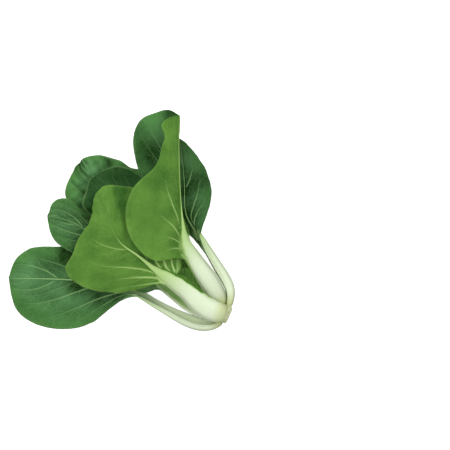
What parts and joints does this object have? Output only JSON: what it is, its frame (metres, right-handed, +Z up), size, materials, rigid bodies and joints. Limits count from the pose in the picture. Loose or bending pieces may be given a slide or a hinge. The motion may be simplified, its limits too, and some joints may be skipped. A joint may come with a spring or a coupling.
{
  "type": "pak choi head, white-stalked",
  "caption": "Small white-stalked pak choi head lying on its side: thick spoon-shaped stalks fan out from a short cut stem into broad smooth leaf blades.",
  "frame": {"origin": "on the table, under the middle of the head's outline", "axes": "+Z up from the table; the cut stem end points to +X and -Y, and the leaves fan out to -X and +Y"},
  "size_m": [0.2032, 0.1973, 0.0517],
  "materials": {
    "stem": "matt cut plant tissue",
    "leaf_upper": "smooth, slightly waxy leaf",
    "leaf_under": "matt leaf underside"
  },
  "bodies": {
    "root": {"stem": "stem", "leaf_low_left": "leaf_upper", "leaf_front_left": "leaf_under", "leaf_front_right": "leaf_under", "leaf_right": "leaf_upper", "leaf_mid_left": "leaf_upper", "leaf_upper_left": "leaf_upper", "leaf_shaded": "leaf_upper", "leaf_heart_left": "leaf_upper", "leaf_heart_right": "leaf_upper"}
  },
  "joints": []
}
